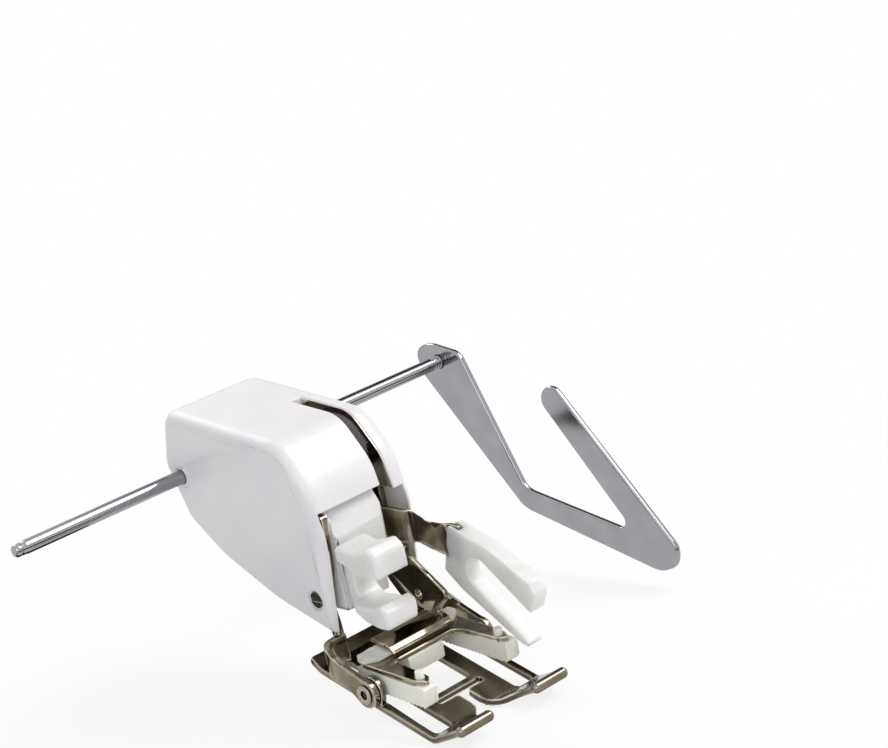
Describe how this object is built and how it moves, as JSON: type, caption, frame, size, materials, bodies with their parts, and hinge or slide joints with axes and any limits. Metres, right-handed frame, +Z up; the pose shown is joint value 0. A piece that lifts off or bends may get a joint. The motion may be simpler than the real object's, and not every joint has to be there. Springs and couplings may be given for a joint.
{
  "type": "walking foot",
  "caption": "Low-shank walking foot for a sewing machine: white housing, notched clamp, fork lever, feed pads above a hinged sole, and a quilting guide bar in a cross hole.",
  "frame": {"origin": "on the axis of the clamp notch that goes round the presser bar screw, in the middle of its half-round root", "axes": "+Z up along the presser bar, -Y towards the toes, +X to the sewer's right, where the fork and the guide end are"},
  "size_m": [0.0997, 0.0704, 0.0508],
  "materials": {
    "white_shell": "satin-gloss moulded shell",
    "milky_nylon": "translucent milky nylon",
    "ivory_pad": "satin ivory nylon with moulded teeth",
    "nickel_sheet": "warm nickel plating on bent sheet",
    "polished_sole": "polished nickel plating",
    "spring_steel": "bare spring steel",
    "guide_chrome": "bright chrome plating"
  },
  "bodies": {
    "frame_body": {"housing": "white_shell", "frame": "nickel_sheet", "shank_clamp": "milky_nylon", "clamp_rivets": "nickel_sheet", "cover_screws": "spring_steel", "lever_pivot_pin": "nickel_sheet", "sole_rivets": "nickel_sheet", "guide_leaf_spring": "spring_steel", "feed_spring": "spring_steel", "lever_spring": "spring_steel"},
    "fork_lever": {"lever_arm": "nickel_sheet", "lever_hub": "milky_nylon", "fork_tip": "milky_nylon"},
    "feed_slider": {"slider_pin": "nickel_sheet"},
    "feed_carriage": {"feed_arm": "nickel_sheet", "feed_bar": "ivory_pad", "carrier_plate": "nickel_sheet", "feed_pad_left": "ivory_pad", "feed_pad_right": "ivory_pad", "feed_pad_centre": "ivory_pad"},
    "sole_body": {"sole": "polished_sole"},
    "guide_bar": {"guide_rod": "guide_chrome"},
    "guide_end": {"guide_blade": "guide_chrome"}
  },
  "joints": [
    {"name": "fork_swing", "type": "hinge", "parent": "frame_body", "child": "fork_lever", "pos_m": [0.0051, 0.0233, 0.0074], "axis": [-1, 0, 0], "range_deg": [0, 50], "stiffness_Nm_per_rad": 0.0004, "springref_deg": -34.38, "deforming": ["lever_spring"]},
    {"name": "feed_stroke", "type": "slide", "parent": "frame_body", "child": "feed_slider", "axis": [0, 1, 0], "range_m": [0, 0.0032], "stiffness_N_per_m": 120, "springref_m": -0.002, "deforming": ["feed_spring"]},
    {"name": "feed_lift", "type": "hinge", "parent": "feed_slider", "child": "feed_carriage", "pos_m": [0.0051, 0.0208, 0.002], "axis": [1, 0, 0], "range_deg": [0, 4.2]},
    {"name": "sole_pitch", "type": "hinge", "parent": "frame_body", "child": "sole_body", "pos_m": [0.0051, -0.0022, -0.0161], "axis": [-1, 0, 0], "range_deg": [0, 16.5]},
    {"name": "guide_slide", "type": "slide", "parent": "frame_body", "child": "guide_bar", "axis": [1, 0, 0], "range_m": [-0.034, 0.03]},
    {"name": "guide_turn", "type": "hinge", "parent": "guide_bar", "child": "guide_end", "pos_m": [0.0577, 0.0412, 0.0161], "axis": [-1, 0, 0], "range_deg": [-8, 100]}
  ],
  "couplings": [
    {"joint": "feed_lift", "follows": "fork_swing", "ratio": 0.08}
  ]
}
